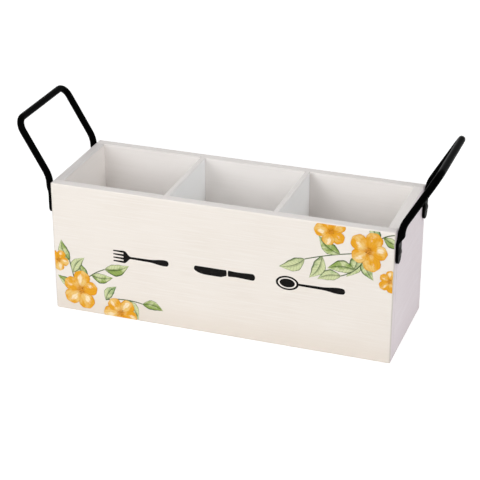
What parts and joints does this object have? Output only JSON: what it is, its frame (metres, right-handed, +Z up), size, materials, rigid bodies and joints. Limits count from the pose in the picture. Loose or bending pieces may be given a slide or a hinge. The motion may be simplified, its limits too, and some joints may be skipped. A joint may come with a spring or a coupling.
{
  "type": "utensil caddy",
  "caption": "Open-topped painted wooden cutlery caddy with compartments split by dividers and bent rod handles screwed to its ends",
  "frame": {"origin": "centre of the footprint, on the table", "axes": "+X along the box to its right end, -Y out of the front board, +Z up"},
  "size_m": [0.4276, 0.12, 0.2],
  "materials": {
    "painted_wood": "satin off-white paint, brushed on, grain faintly showing",
    "black_rod": "satin black powder coat on mild steel rod",
    "screw_steel": "black oxide",
    "brad_steel": "bright steel wire"
  },
  "bodies": {
    "root": {"front_board": "painted_wood", "back_board": "painted_wood", "left_end_board": "painted_wood", "right_end_board": "painted_wood", "bottom_board": "painted_wood", "left_divider": "painted_wood", "right_divider": "painted_wood", "left_handle": "black_rod", "right_handle": "black_rod", "handle_screws": "screw_steel", "frame_brads": "brad_steel"}
  },
  "joints": []
}
